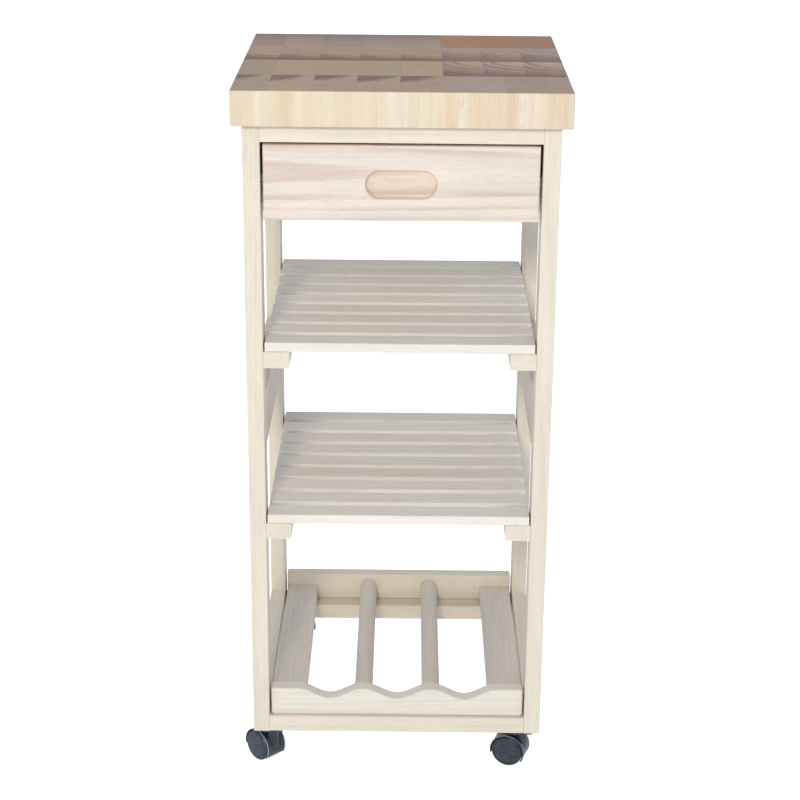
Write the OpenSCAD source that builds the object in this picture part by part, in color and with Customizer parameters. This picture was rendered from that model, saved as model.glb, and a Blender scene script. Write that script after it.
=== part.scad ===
// Small kitchen trolley: butcher-block worktop on a four-leg wooden frame, with a drawer,
// two slatted shelves, a rack for three bottles and four swivelling twin-wheel casters.
// Millimetres, +Z up, front towards -Y. The origin is on the floor, under the worktop's centre.

/* [Worktop] */
// Width of the worktop block, side to side
block_w = 406.4; // [338:0.1:490]
// Depth of the worktop block, front to back
block_d = 406.4; // [338:0.1:490]
// Thickness of the worktop block
block_t = 43.2; // [30:0.1:60]
// Height of the worktop above the floor
worktop_h = 914.4; // [762:0.1:1100]
// Overhang of the block past the legs, on every side
overhang = 12.7; // [4:0.1:30]
// Rounding of the block's edges
block_edge_r = 1.8; // [0.5:0.1:4]

/* [Frame] */
// Leg size, side to side
leg_w = 21.2; // [17:0.1:30]
// Leg size, front to back
leg_d = 41.2; // [34:0.1:50]
// Thickness of every rail
rail_t = 21; // [17:0.1:24]
// Depth of the rails that lie flat
flat_rail_d = 49.5; // [41:0.1:60]
// Thickness of the flat bottom rails
bottom_rail_t = 22.4; // [18:0.1:27]
// Height of the top side and rear rails
top_rail_h = 116; // [96:0.1:140]
// Height of the middle side rails
middle_rail_h = 72; // [40:0.1:100]
// Height of the middle side rails' lower edge above the leg ends
middle_rail_z = 398; // [380:0.1:440]
// Height of the bottom side rails
bottom_rail_h = 41.5; // [34:0.1:60]
// Rounding of the frame's long edges
edge_r = 1.2; // [0.5:0.1:3]

/* [Shelves] */
// Height of the upper shelf's top above the leg ends
upper_shelf_z = 546.6; // [500:0.1:550]
// Height of the lower shelf's top above the leg ends
lower_shelf_z = 314.9; // [262:0.1:377]
// Number of slats on each shelf
slat_count = 9; // [5:1:9]
// Width of a slat, front to back
slat_w = 32.6; // [20:0.1:36]
// Thickness of a slat
slat_t = 12.2; // [9:0.1:16]
// Gap between the slat ends and the legs
slat_end_gap = 1.8; // [0.5:0.1:5]
// Distance from the last slat to the back of the legs
shelf_setback = 6; // [0:0.1:20]
// Width of a shelf cleat, side to side
cleat_w = 32.3; // [26:0.1:40]
// Height of a shelf cleat
cleat_h = 21.3; // [16:0.1:28]

/* [Drawer] */
// Height of the drawer front
front_h = 92.4; // [77:0.1:111]
// Thickness of the drawer front
front_t = 20; // [18:0.1:24]
// Gap between the drawer front and each front leg
front_side_gap = 3.3; // [1:0.1:5]
// Gap between the drawer front and the top front rail
front_top_gap = 2.9; // [1:0.1:5]
// Length of the finger recess
recess_l = 86; // [70:0.1:104]
// Height of the finger recess
recess_h = 34.4; // [28:0.1:42]
// Depth of the finger recess
recess_depth = 9; // [5:0.1:10]
// Distance of the drawer sides' top edge below the front's top edge
side_drop = 11.4; // [3:0.1:20]
// Distance of the drawer sides' lower edge above the front's lower edge
side_lift = 9; // [4:0.1:14]
// Thickness of the drawer sides and back
side_t = 12; // [10:0.1:15]
// Thickness of the drawer bottom
panel_t = 4; // [3:0.1:6]
// How far the drawer pulls out
drawer_travel = 250; // [150:1:250]
// Height of a drawer runner
runner_h = 12; // [10:0.1:16]
// Depth of the runner groove in a drawer side
groove_depth = 6; // [4:0.1:7]
// Gap between the drawer sides and the frame
side_gap = 12.3; // [10:0.1:16]
// Gap between a runner and its groove, on each face
runner_gap = 0.6; // [0.4:0.1:1.5]

/* [Bottle rack] */
// Gap between the rack boards and the bottom side rails
rack_end_gap = 2.3; // [1:0.1:6]
// Thickness of the rack boards
board_t = 20; // [16:0.1:24]
// Height of the back board, and of the front board's crests
board_h = 38.8; // [32:0.1:44]
// Depth of the scallops in the front board
scallop_depth = 14.2; // [8:0.1:18]
// Setback of the rack boards from the front and the back of the frame
board_setback = 5.8; // [2:0.1:20]
// Diameter of the rack rods
rod_d = 24.1; // [20:0.1:25]
// Distance between the centres of the rods
rod_pitch = 90; // [84:0.1:108]
// Height of a rod's centre above the bottom rails
rod_z = 19.8; // [15:0.1:21]
// Width of a rack side slat
rack_slat_w = 44.3; // [30:0.1:53]
// Thickness of a rack side slat
rack_slat_t = 12.2; // [9:0.1:15]
// Height of the side slats' top above the bottom rails
rack_slat_z = 21.5; // [18:0.1:26]
// Depth of the sockets that hold the rods and slats
socket_depth = 8; // [4:0.1:10]

/* [Casters] */
// Height of the casters, floor to leg ends
caster_h = 52.4; // [51.5:0.1:62]
// Diameter of a caster wheel
wheel_d = 42; // [35:0.1:42.4]
// Width of a caster wheel
wheel_w = 12; // [10:0.1:14.4]
// How far a wheel's face stands out of the hood
wheel_proud = 1.8; // [0.5:0.1:3]
// Thickness of the web between the two wheels
web_t = 10; // [9:0.1:12]
// Distance from the swivel axis back to the axle
trail = 15; // [12.5:0.1:18]
// Diameter of the axle
axle_d = 5; // [4:0.1:6]
// Diameter of the kingpin
kingpin_d = 7; // [5.8:0.1:7.4]
// Side of the square mounting plate
plate_w = 30; // [29:0.1:36]
// Distance of the swivel axis in from a leg's outer face
caster_in_x = 23.5; // [19.6:0.1:28]
// Distance of the swivel axis in from the front or back of the frame
caster_in_y = 15.1; // [15:0.1:26]
// Swivel of the front left caster, in degrees
swivel_fl = -46; // [-180:1:180]
// Swivel of the front right caster, in degrees
swivel_fr = -19; // [-180:1:180]
// Swivel of the rear left caster, in degrees
swivel_rl = 160; // [-180:1:180]
// Swivel of the rear right caster, in degrees
swivel_rr = 134; // [-180:1:180]

/* [Hidden] */
$fn = 48;
eps = 0.1;                       // overshoot of a cut
pin_fit = 0.05;                  // radial gap of a running fit
seat_fit = 0.02;                 // radial gap of a glued or pressed fit

// Frame, from the worktop's size
frame_w = block_w - 2 * overhang;
frame_d = block_d - 2 * overhang;
inner_w = frame_w - 2 * leg_w;
foot_z = caster_h;
block_z = worktop_h - block_t;
leg_l = block_z - foot_z;
front_y = -frame_d / 2;
back_y = frame_d / 2;
inner_x = inner_w / 2;
outer_x = frame_w / 2;
side_rail_l = frame_d - 2 * leg_d;
rack_z = foot_z + bottom_rail_t; // top of the flat bottom rails
top_flat_z = block_z - rail_t;   // underside of the top front rail
top_rail_z = block_z - top_rail_h;

// Shelves
shelf_d = frame_d - shelf_setback;
slat_l = inner_w - 2 * slat_end_gap;
slat_pitch = (shelf_d - slat_w) / (slat_count - 1);
slat_edge_r = 1.5;
slat_corner_r = 4;

// Drawer
front_w = inner_w - 2 * front_side_gap;
front_z = top_flat_z - front_top_gap - front_h;
side_x = inner_x - side_gap;     // outer face of a drawer side
side_z = front_z + side_lift;
side_h = front_h - side_lift - side_drop;
dado = 6;                        // depth that the sides enter the front
side_y = front_y + front_t - dado;
rear_clear = 14;                 // space behind the closed drawer
side_l = back_y - rail_t - rear_clear - side_y;
panel_z = side_z + 8;
panel_groove = 5;                // depth of the groove that holds the bottom
panel_fit = 0.1;
runner_z = side_z + side_h / 2 - runner_h / 2;
runner_y = front_y + front_t + 1;
runner_l = back_y - rail_t - runner_y;
recess_z = front_z + front_h / 2 - 1.6;
block_cleat_w = 21;
block_cleat_h = rail_t;

// Bottle rack
board_l = inner_w - 2 * rack_end_gap;
front_board_y = front_y + board_setback;
back_board_y = back_y - board_setback - board_t;
rack_span = back_board_y - front_board_y - board_t;
rod_x = rod_pitch / 2;
rack_slat_x = board_l / 2 - 1.2; // outer edge of a side slat
lane_w = rack_slat_x - rack_slat_w - rod_x - rod_d / 2;
lane_x = rod_x + rod_d / 2 + lane_w / 2;
scallop_edge = 10;               // length of the blend at a scallop's side

// Casters
wheel_r = wheel_d / 2;
wheel_gap = 0.5;
hood_w = web_t + 2 * (wheel_gap + wheel_w - wheel_proud);
hood_in_r = wheel_r + 0.7;
hood_r = hood_in_r + 1.3;
lip_r = hood_r + 0.7;
lip_w = 2.4;
plate_t = 2;
plate_z = foot_z - plate_t;
boss_r = 8.5;
boss_top = plate_z - 0.4;
kingpin_end = wheel_r + 6;
hood_back = -31;                 // angle of the hood's lower lip, on the stem side
hood_front = 192;                // angle of the hood's other lip
axle_l = web_t + 2 * wheel_gap + 2 * (wheel_w - 3);
wheel_round = 2.6;
plate_hole_in = 6;

// Fasteners
bolt_d = 6;
bolt_head_d = 10;
bolt_head_h = 5;
bolt_l = 60;
screw_d = 4;
screw_head_d = 8;
screw_head_h = 3;
plate_screw_d = 3.4;
plate_screw_head_d = 6.6;
plate_screw_head_h = 1.8;
plate_screw_l = 9.5;
shelf_screw_l = cleat_w + 0.6 * leg_w;
block_screw_l = block_cleat_h + 0.5 * block_t;
runner_w = side_gap + groove_depth - runner_gap;
runner_screw_l = runner_w + 0.6 * rail_t;

SIDES = [-1, 1];
BOLTS = [                        // [y, z] of the bolts through a leg
    [front_y + leg_d / 2, top_flat_z + rail_t / 2],
    [front_y + leg_d / 2, foot_z + 0.62 * bottom_rail_t],
    [back_y - leg_d / 2, foot_z + 0.62 * bottom_rail_t],
    [back_y - rail_t / 2, top_rail_z + 0.25 * top_rail_h],
    [back_y - rail_t / 2, top_rail_z + 0.75 * top_rail_h]
];
CORNERS = [                      // [side, end, swivel] of the casters
    [-1, -1, swivel_fl],
    [1, -1, swivel_fr],
    [-1, 1, swivel_rl],
    [1, 1, swivel_rr]
];
SHELVES = [lower_shelf_z, upper_shelf_z];
RUNNER_SCREWS = [0.12, 0.5, 0.88];

function frame_wood() = [0.93, 0.90, 0.80];
function shelf_wood() = [0.90, 0.86, 0.76];
function block_wood() = [0.80, 0.66, 0.50];
function drawer_wood() = [0.93, 0.87, 0.79];

// ---- Shapes that repeat ----

// Rectangle with its corner at the origin and rounded corners
module rounded_rect(w, h, r) {
    translate([r, 0]) square([w - 2 * r, h]);
    translate([0, r]) square([w, h - 2 * r]);
    for (x = [r, w - r], y = [r, h - r])
        translate([x, y]) circle(r);
}

// Bars with eased long edges, along X, Y or Z, from the corner at the origin
module bar_z(size, r = edge_r) {
    linear_extrude(size.z) rounded_rect(size.x, size.y, r);
}

module bar_x(size, r = edge_r) {
    rotate([90, 0, 90]) linear_extrude(size.x) rounded_rect(size.y, size.z, r);
}

module bar_y(size, r = edge_r) {
    translate([0, size.y, 0]) rotate([90, 0, 0]) linear_extrude(size.y)
        rounded_rect(size.x, size.z, r);
}

// Board with all its edges eased
module eased_board(size, r = edge_r) {
    intersection() {
        bar_x(size, r);
        bar_y(size, r);
        bar_z(size, r);
    }
}

// Places a child on both sides, mirrored; side is -1 for left, 1 for right
module on_side(side) {
    mirror([side < 0 ? 1 : 0, 0, 0]) children();
}

// Hole along +X from the child origin, for a bolt or a screw that starts at x = 0
module hole_x(d, l, fit = pin_fit) {
    rotate([0, 90, 0]) translate([0, 0, -eps]) cylinder(d = d + 2 * fit, h = l + eps);
}

module hole_z(d, l, fit = pin_fit) {
    translate([0, 0, -eps]) cylinder(d = d + 2 * fit, h = l + eps);
}

// Screw that points along +Z; its head's seat is at the origin
module screw(d, l, head_d, head_h) {
    translate([0, 0, -head_h / 2]) cylinder(d = d, h = l + head_h / 2);
    translate([0, 0, -head_h]) cylinder(d = head_d, h = head_h);
}

// Bolts that join a side frame to the front and rear rails, from the leg's outer face
module bolt_holes(side) {
    for (b = BOLTS)
        on_side(side) translate([outer_x, b.x, b.y]) rotate([0, 180, 0]) {
            hole_x(bolt_d, bolt_l + 1);
            hole_x(bolt_head_d, bolt_head_h + 0.4, 0.4);
        }
}

// Screws through the shelf cleats into the legs
module shelf_screw_holes(side) {
    for (z = SHELVES, y = [front_y + leg_d / 2, back_y - leg_d / 2])
        on_side(side) translate([inner_x - cleat_w, y, foot_z + z - slat_t - cleat_h / 2]) {
            hole_x(screw_d, shelf_screw_l + 1);
            hole_x(screw_head_d, screw_head_h, 0.3);
        }
}

// Screws through a drawer runner into the top side rail
module runner_screw_holes(side) {
    for (k = RUNNER_SCREWS)
        on_side(side) translate([inner_x - runner_w, runner_y + k * runner_l, runner_z + runner_h / 2]) {
            hole_x(screw_d, runner_screw_l + 1);
            hole_x(screw_head_d, screw_head_h, 0.3);
        }
}

// Screws through the block cleats up into the block
module block_screw_holes(side) {
    for (k = SIDES)
        on_side(side) translate([inner_x - block_cleat_w / 2, k * side_rail_l / 3, top_flat_z]) {
            hole_z(screw_d, block_screw_l + 1);
            hole_z(screw_head_d, screw_head_h, 0.3);
        }
}

// Places a child at a caster's swivel axis, on the floor
module at_corner(c) {
    translate([c[0] * (outer_x - caster_in_x), c[1] * (frame_d / 2 - caster_in_y), 0]) children();
}

module plate_screw_places() {
    reach = plate_w / 2 - plate_hole_in;
    for (x = SIDES, y = SIDES)
        translate([x * reach, y * reach, plate_z]) children();
}

module plate_screw_holes() {
    for (c = CORNERS)
        at_corner(c) plate_screw_places() hole_z(plate_screw_d, plate_screw_l + 1);
}

// ---- Worktop and frame ----

module butcher_block() {
    color(block_wood()) difference() {
        translate([-block_w / 2, -block_d / 2, block_z])
            eased_board([block_w, block_d, block_t], block_edge_r);
        for (s = SIDES) block_screw_holes(s);
    }
}

module leg(side, end) {
    y = end < 0 ? front_y : back_y - leg_d;
    color(frame_wood()) difference() {
        on_side(side) translate([inner_x, y, foot_z]) bar_z([leg_w, leg_d, leg_l]);
        bolt_holes(side);
        shelf_screw_holes(side);
        plate_screw_holes();
    }
}

module side_rail(side, z, h) {
    color(frame_wood()) difference() {
        on_side(side) translate([inner_x, front_y + leg_d, z]) bar_y([rail_t, side_rail_l, h]);
        runner_screw_holes(side);
    }
}

// Rail between the legs that lies flat, with its front at y
module flat_rail(y, z, t) {
    color(frame_wood()) difference() {
        translate([-inner_x, y, z]) bar_x([inner_w, flat_rail_d, t]);
        for (s = SIDES) bolt_holes(s);
        plate_screw_holes();
    }
}

module top_rear_rail() {
    color(frame_wood()) difference() {
        translate([-inner_x, back_y - rail_t, top_rail_z]) bar_x([inner_w, rail_t, top_rail_h]);
        for (s = SIDES) bolt_holes(s);
    }
}

module block_cleat(side) {
    y = front_y + flat_rail_d + 1;
    color(frame_wood()) difference() {
        on_side(side) translate([inner_x - block_cleat_w, y, top_flat_z])
            bar_y([block_cleat_w, back_y - rail_t - 1 - y, block_cleat_h]);
        block_screw_holes(side);
    }
}

// ---- Shelves ----

module slats(z) {
    color(shelf_wood()) for (i = [0 : slat_count - 1])
        translate([-slat_l / 2, front_y + i * slat_pitch, foot_z + z - slat_t])
            if (i < slat_count - 1)
                eased_board([slat_l, slat_w, slat_t], slat_edge_r);
            else
                intersection() {
                    eased_board([slat_l, slat_w, slat_t], slat_edge_r);
                    translate([0, -slat_corner_r, 0])
                        bar_z([slat_l, slat_w + slat_corner_r, slat_t], slat_corner_r);
                }
}

module shelf_cleat(side, z) {
    color(shelf_wood()) difference() {
        on_side(side) translate([inner_x - cleat_w, front_y, foot_z + z - slat_t - cleat_h])
            bar_y([cleat_w, shelf_d, cleat_h], slat_edge_r);
        shelf_screw_holes(side);
    }
}

// ---- Bottle rack ----

// One scallop's outline: a dip of the lane's width that blends into the crests on both sides
module scallop(w) {
    half = w / 2 + scallop_edge;
    steps = 16;
    polygon([
        for (i = [0 : steps])
            let (u = i / steps * 2 - 1)
            [u * half, -scallop_depth * (1 + cos(180 * u)) / 2],
        [half, eps],
        [-half, eps]
    ]);
}

module rack_sockets() {
    y = front_board_y + board_t - socket_depth;
    l = rack_span + 2 * socket_depth;
    for (x = [-rod_x, rod_x])
        translate([x, y, rack_z + rod_z]) rotate([-90, 0, 0])
            cylinder(d = rod_d + 2 * seat_fit, h = l);
    for (s = SIDES)
        on_side(s) translate([rack_slat_x - rack_slat_w, y, rack_z + rack_slat_z - rack_slat_t])
            cube([rack_slat_w, l, rack_slat_t]);
}

module rack_front_board() {
    color(shelf_wood()) difference() {
        translate([-board_l / 2, front_board_y, rack_z])
            eased_board([board_l, board_t, board_h]);
        for (x = [-lane_x, 0, lane_x])
            translate([x, front_board_y + board_t + eps, rack_z + board_h]) rotate([90, 0, 0])
                linear_extrude(board_t + 2 * eps) scallop(x == 0 ? rod_pitch - rod_d : lane_w);
        rack_sockets();
    }
}

module rack_back_board() {
    color(shelf_wood()) difference() {
        translate([-board_l / 2, back_board_y, rack_z])
            eased_board([board_l, board_t, board_h]);
        rack_sockets();
    }
}

module rack_rod(side) {
    color(shelf_wood())
        translate([side * rod_x, front_board_y + board_t - socket_depth, rack_z + rod_z])
            rotate([-90, 0, 0]) cylinder(d = rod_d, h = rack_span + 2 * socket_depth);
}

module rack_slat(side) {
    y = front_board_y + board_t - socket_depth;
    color(shelf_wood()) on_side(side)
        translate([rack_slat_x - rack_slat_w, y, rack_z + rack_slat_z - rack_slat_t])
            bar_y([rack_slat_w, rack_span + 2 * socket_depth, rack_slat_t], edge_r);
}

// ---- Drawer ----

module drawer_front() {
    run = recess_l - recess_h;
    color(drawer_wood()) difference() {
        translate([-front_w / 2, front_y, front_z]) eased_board([front_w, front_t, front_h], 2);
        translate([0, front_y + recess_depth, recess_z]) rotate([90, 0, 0]) {
            for (x = [-run / 2, run / 2])
                translate([x, 0, 0]) cylinder(d = recess_h, h = recess_depth + eps);
            translate([-run / 2, -recess_h / 2, 0]) cube([run, recess_h, recess_depth + eps]);
        }
        for (s = SIDES)
            on_side(s) translate([side_x - side_t, side_y, side_z])
                cube([side_t, front_t, side_h]);
        translate([-side_x + side_t - panel_groove, front_y + front_t - panel_groove, panel_z - panel_fit])
            cube([2 * (side_x - side_t + panel_groove), front_t, panel_t + 2 * panel_fit]);
    }
}

module drawer_side(side) {
    color(drawer_wood()) difference() {
        on_side(side) translate([side_x - side_t, side_y, side_z]) cube([side_t, side_l, side_h]);
        on_side(side)
            translate([side_x - groove_depth, front_y + front_t, runner_z - runner_gap])
                cube([groove_depth + eps, side_l, runner_h + 2 * runner_gap]);
        drawer_panel_grooves();
    }
}

module drawer_panel_grooves() {
    x = side_x - side_t + panel_groove;
    translate([-x, side_y, panel_z - panel_fit])
        cube([2 * x, side_l - side_t + panel_groove, panel_t + 2 * panel_fit]);
}

module drawer_back() {
    x = side_x - side_t;
    color(drawer_wood()) difference() {
        translate([-x, side_y + side_l - side_t, side_z]) bar_x([2 * x, side_t, side_h]);
        drawer_panel_grooves();
    }
}

module drawer_bottom() {
    x = side_x - side_t + panel_groove - panel_fit;
    y = front_y + front_t - panel_groove + panel_fit;
    color(drawer_wood()) translate([-x, y, panel_z])
        cube([2 * x, side_y + side_l - side_t + panel_groove - panel_fit - y, panel_t]);
}

module drawer_runner(side) {
    color(frame_wood()) difference() {
        on_side(side) translate([inner_x - runner_w, runner_y, runner_z])
            bar_y([runner_w, runner_l, runner_h], 1);
        runner_screw_holes(side);
    }
}

// ---- Fasteners ----

module frame_bolts() {
    color("silver") for (s = SIDES, b = BOLTS)
        on_side(s) translate([outer_x - bolt_head_h - 0.4, b.x, b.y]) rotate([0, -90, 0])
            screw(bolt_d, bolt_l - bolt_head_h, bolt_head_d, bolt_head_h);
}

module wood_screws() {
    color("silver") for (s = SIDES) {
        for (z = SHELVES, y = [front_y + leg_d / 2, back_y - leg_d / 2])
            on_side(s)
                translate([inner_x - cleat_w + screw_head_h, y, foot_z + z - slat_t - cleat_h / 2])
                    rotate([0, 90, 0])
                        screw(screw_d, shelf_screw_l - screw_head_h, screw_head_d, screw_head_h);
        for (k = RUNNER_SCREWS)
            on_side(s)
                translate([inner_x - runner_w + screw_head_h, runner_y + k * runner_l,
                    runner_z + runner_h / 2])
                    rotate([0, 90, 0])
                        screw(screw_d, runner_screw_l - screw_head_h, screw_head_d, screw_head_h);
        for (k = SIDES)
            on_side(s)
                translate([inner_x - block_cleat_w / 2, k * side_rail_l / 3, top_flat_z + screw_head_h])
                    screw(screw_d, block_screw_l - screw_head_h, screw_head_d, screw_head_h);
    }
}

module caster_screws() {
    color("silver") for (c = CORNERS)
        at_corner(c) plate_screw_places()
            screw(plate_screw_d, plate_screw_l, plate_screw_head_d, plate_screw_head_h);
}

// ---- Casters ----

// Places a child in a caster's own frame: axle along Y at x = 0, wheels on the floor
module at_wheels(c) {
    at_corner(c) rotate(c[2]) translate([-trail, 0, wheel_r]) children();
}

module along_y(w) {
    rotate([90, 0, 0]) translate([0, 0, -w / 2]) children();
}

module caster_plate(c) {
    color([0.25, 0.25, 0.27]) at_corner(c) {
        difference() {
            translate([-plate_w / 2, -plate_w / 2, plate_z]) bar_z([plate_w, plate_w, plate_t], 4);
            plate_screw_places() hole_z(plate_screw_d, plate_t + eps);
        }
        translate([0, 0, kingpin_end]) cylinder(d = kingpin_d, h = plate_z - kingpin_end + 0.01);
    }
}

// Everything below the line between the hood's two lips, less the web round the axle
module hood_opening() {
    r = 2 * lip_r;
    a = [lip_r * cos(hood_back), lip_r * sin(hood_back)];
    b = [lip_r * cos(hood_front), lip_r * sin(hood_front)];
    along_y(2 * hood_w) linear_extrude(2 * hood_w)
        polygon([a * 1.2, [a.x * 1.2, -r], [b.x * 1.2, -r], b * 1.2, [0, 0]]);
}

module caster_hood(c) {
    web_r = 12;
    color([0.22, 0.23, 0.26]) difference() {
        union() {
            at_wheels(c) difference() {
                union() {
                    along_y(hood_w) cylinder(r = hood_r, h = hood_w);
                    for (s = SIDES)
                        translate([0, s * (hood_w - lip_w) / 2, 0]) along_y(lip_w) rotate_extrude() {
                            square([lip_r - lip_w / 2, lip_w]);
                            translate([lip_r - lip_w / 2, lip_w / 2]) circle(lip_w / 2);
                        }
                }
                along_y(2 * hood_w) cylinder(r = hood_in_r, h = 2 * hood_w);
                hood_opening();
            }
            at_wheels(c) {
                along_y(web_t) cylinder(r = web_r, h = web_t);
                difference() {
                    along_y(web_t) cylinder(r = hood_in_r + 0.7, h = web_t);
                    hood_opening();
                }
            }
            at_corner(c) translate([0, 0, kingpin_end - 2])
                cylinder(r = boss_r, h = boss_top - kingpin_end + 2);
        }
        at_wheels(c) {
            along_y(2 * web_t) cylinder(d = axle_d + 2 * seat_fit, h = 2 * web_t);
            for (s = SIDES)
                translate([0, s * (web_t + hood_w) / 2, 0])
                    along_y(hood_w) cylinder(r = hood_in_r, h = hood_w);
        }
        at_corner(c) translate([0, 0, kingpin_end - 1])
            cylinder(d = kingpin_d + 2 * pin_fit, h = caster_h);
    }
}

module caster_axle(c) {
    color("silver") at_wheels(c) along_y(axle_l) cylinder(d = axle_d, h = axle_l);
}

// Half outline of a wheel: a rounded tread, a groove inside the rim and a domed face with a hub
function wheel_outline() =
    let (face = wheel_w - 1, dome_r = wheel_r - 3.4, hub_r = 3.2)
    concat(
        [[0, 0], [wheel_r - 0.6, 0], [wheel_r, 0.6]],
        [for (i = [0 : 6])
            [wheel_r - wheel_round * (1 - cos(15 * i)), face - wheel_round * (1 - sin(15 * i))]],
        [[dome_r + 0.6, face], [dome_r + 0.3, face - 0.5], [dome_r, face - 0.5]],
        [for (i = [0 : 6])
            let (r = dome_r - (dome_r - hub_r) * i / 6)
            [r, wheel_w - 0.3 - 0.9 * pow(r / dome_r, 2)]],
        [[hub_r - 0.3, wheel_w], [0, wheel_w]]
    );

// Wheel on one side of the web, with a blind bore
module caster_wheel(c, side) {
    color([0.20, 0.21, 0.24]) at_wheels(c)
        translate([0, side * (web_t / 2 + wheel_gap), 0]) rotate([-90 * side, 0, 0]) difference() {
            rotate_extrude() polygon(wheel_outline());
            translate([0, 0, -eps]) cylinder(d = axle_d + 2 * pin_fit, h = wheel_w - 2.6 + eps);
        }
}

butcher_block();
leg(-1, -1);  // leg_front_left
leg(1, -1);  // leg_front_right
leg(-1, 1);  // leg_rear_left
leg(1, 1);  // leg_rear_right
flat_rail(front_y, top_flat_z, rail_t);  // top_front_rail
top_rear_rail();
side_rail(-1, top_rail_z, top_rail_h);  // top_side_rail_left
side_rail(1, top_rail_z, top_rail_h);  // top_side_rail_right
side_rail(-1, foot_z + middle_rail_z, middle_rail_h);  // middle_side_rail_left
side_rail(1, foot_z + middle_rail_z, middle_rail_h);  // middle_side_rail_right
side_rail(-1, foot_z, bottom_rail_h);  // bottom_side_rail_left
side_rail(1, foot_z, bottom_rail_h);  // bottom_side_rail_right
flat_rail(front_y, foot_z, bottom_rail_t);  // bottom_front_rail
flat_rail(back_y - flat_rail_d, foot_z, bottom_rail_t);  // bottom_rear_rail
block_cleat(-1);  // block_cleat_left
block_cleat(1);  // block_cleat_right
drawer_runner(-1);  // drawer_runner_left
drawer_runner(1);  // drawer_runner_right
slats(upper_shelf_z);  // upper_shelf_slats
slats(lower_shelf_z);  // lower_shelf_slats
shelf_cleat(-1, upper_shelf_z);  // upper_shelf_cleat_left
shelf_cleat(1, upper_shelf_z);  // upper_shelf_cleat_right
shelf_cleat(-1, lower_shelf_z);  // lower_shelf_cleat_left
shelf_cleat(1, lower_shelf_z);  // lower_shelf_cleat_right
rack_front_board();
rack_back_board();
rack_rod(-1);  // rack_rod_left
rack_rod(1);  // rack_rod_right
rack_slat(-1);  // rack_slat_left
rack_slat(1);  // rack_slat_right
drawer_front();
drawer_side(-1);  // drawer_side_left
drawer_side(1);  // drawer_side_right
drawer_back();
drawer_bottom();
frame_bolts();
wood_screws();
caster_screws();
caster_plate(CORNERS[0]);  // plate_front_left
caster_plate(CORNERS[1]);  // plate_front_right
caster_plate(CORNERS[2]);  // plate_rear_left
caster_plate(CORNERS[3]);  // plate_rear_right
caster_hood(CORNERS[0]);  // hood_front_left
caster_hood(CORNERS[1]);  // hood_front_right
caster_hood(CORNERS[2]);  // hood_rear_left
caster_hood(CORNERS[3]);  // hood_rear_right
caster_axle(CORNERS[0]);  // axle_front_left
caster_axle(CORNERS[1]);  // axle_front_right
caster_axle(CORNERS[2]);  // axle_rear_left
caster_axle(CORNERS[3]);  // axle_rear_right
caster_wheel(CORNERS[0], -1);  // near_wheel_front_left
caster_wheel(CORNERS[1], -1);  // near_wheel_front_right
caster_wheel(CORNERS[2], -1);  // near_wheel_rear_left
caster_wheel(CORNERS[3], -1);  // near_wheel_rear_right
caster_wheel(CORNERS[0], 1);  // far_wheel_front_left
caster_wheel(CORNERS[1], 1);  // far_wheel_front_right
caster_wheel(CORNERS[2], 1);  // far_wheel_rear_left
caster_wheel(CORNERS[3], 1);  // far_wheel_rear_right
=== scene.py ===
import bmesh
import bpy
import math
import random
from mathutils import Matrix, Vector


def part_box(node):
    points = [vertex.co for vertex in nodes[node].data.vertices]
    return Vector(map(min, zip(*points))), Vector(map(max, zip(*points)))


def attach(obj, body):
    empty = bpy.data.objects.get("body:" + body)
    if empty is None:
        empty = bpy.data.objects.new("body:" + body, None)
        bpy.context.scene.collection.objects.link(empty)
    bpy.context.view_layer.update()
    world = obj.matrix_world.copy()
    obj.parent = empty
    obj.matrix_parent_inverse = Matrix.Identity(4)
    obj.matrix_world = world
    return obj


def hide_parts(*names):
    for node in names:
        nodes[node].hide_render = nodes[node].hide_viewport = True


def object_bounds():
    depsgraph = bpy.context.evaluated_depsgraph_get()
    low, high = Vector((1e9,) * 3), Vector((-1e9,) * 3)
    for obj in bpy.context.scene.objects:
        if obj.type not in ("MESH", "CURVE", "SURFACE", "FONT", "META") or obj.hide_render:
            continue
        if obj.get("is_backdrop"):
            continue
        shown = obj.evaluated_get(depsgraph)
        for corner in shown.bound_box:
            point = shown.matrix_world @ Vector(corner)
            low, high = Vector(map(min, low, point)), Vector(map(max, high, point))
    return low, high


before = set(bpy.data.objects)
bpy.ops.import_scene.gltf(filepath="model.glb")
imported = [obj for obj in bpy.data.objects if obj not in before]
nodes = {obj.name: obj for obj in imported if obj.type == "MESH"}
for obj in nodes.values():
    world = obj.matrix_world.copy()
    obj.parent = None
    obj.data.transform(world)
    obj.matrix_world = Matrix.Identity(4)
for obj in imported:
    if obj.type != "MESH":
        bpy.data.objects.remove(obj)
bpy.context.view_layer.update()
MM = 0.001


# ---- Node-tree helpers ----

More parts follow.
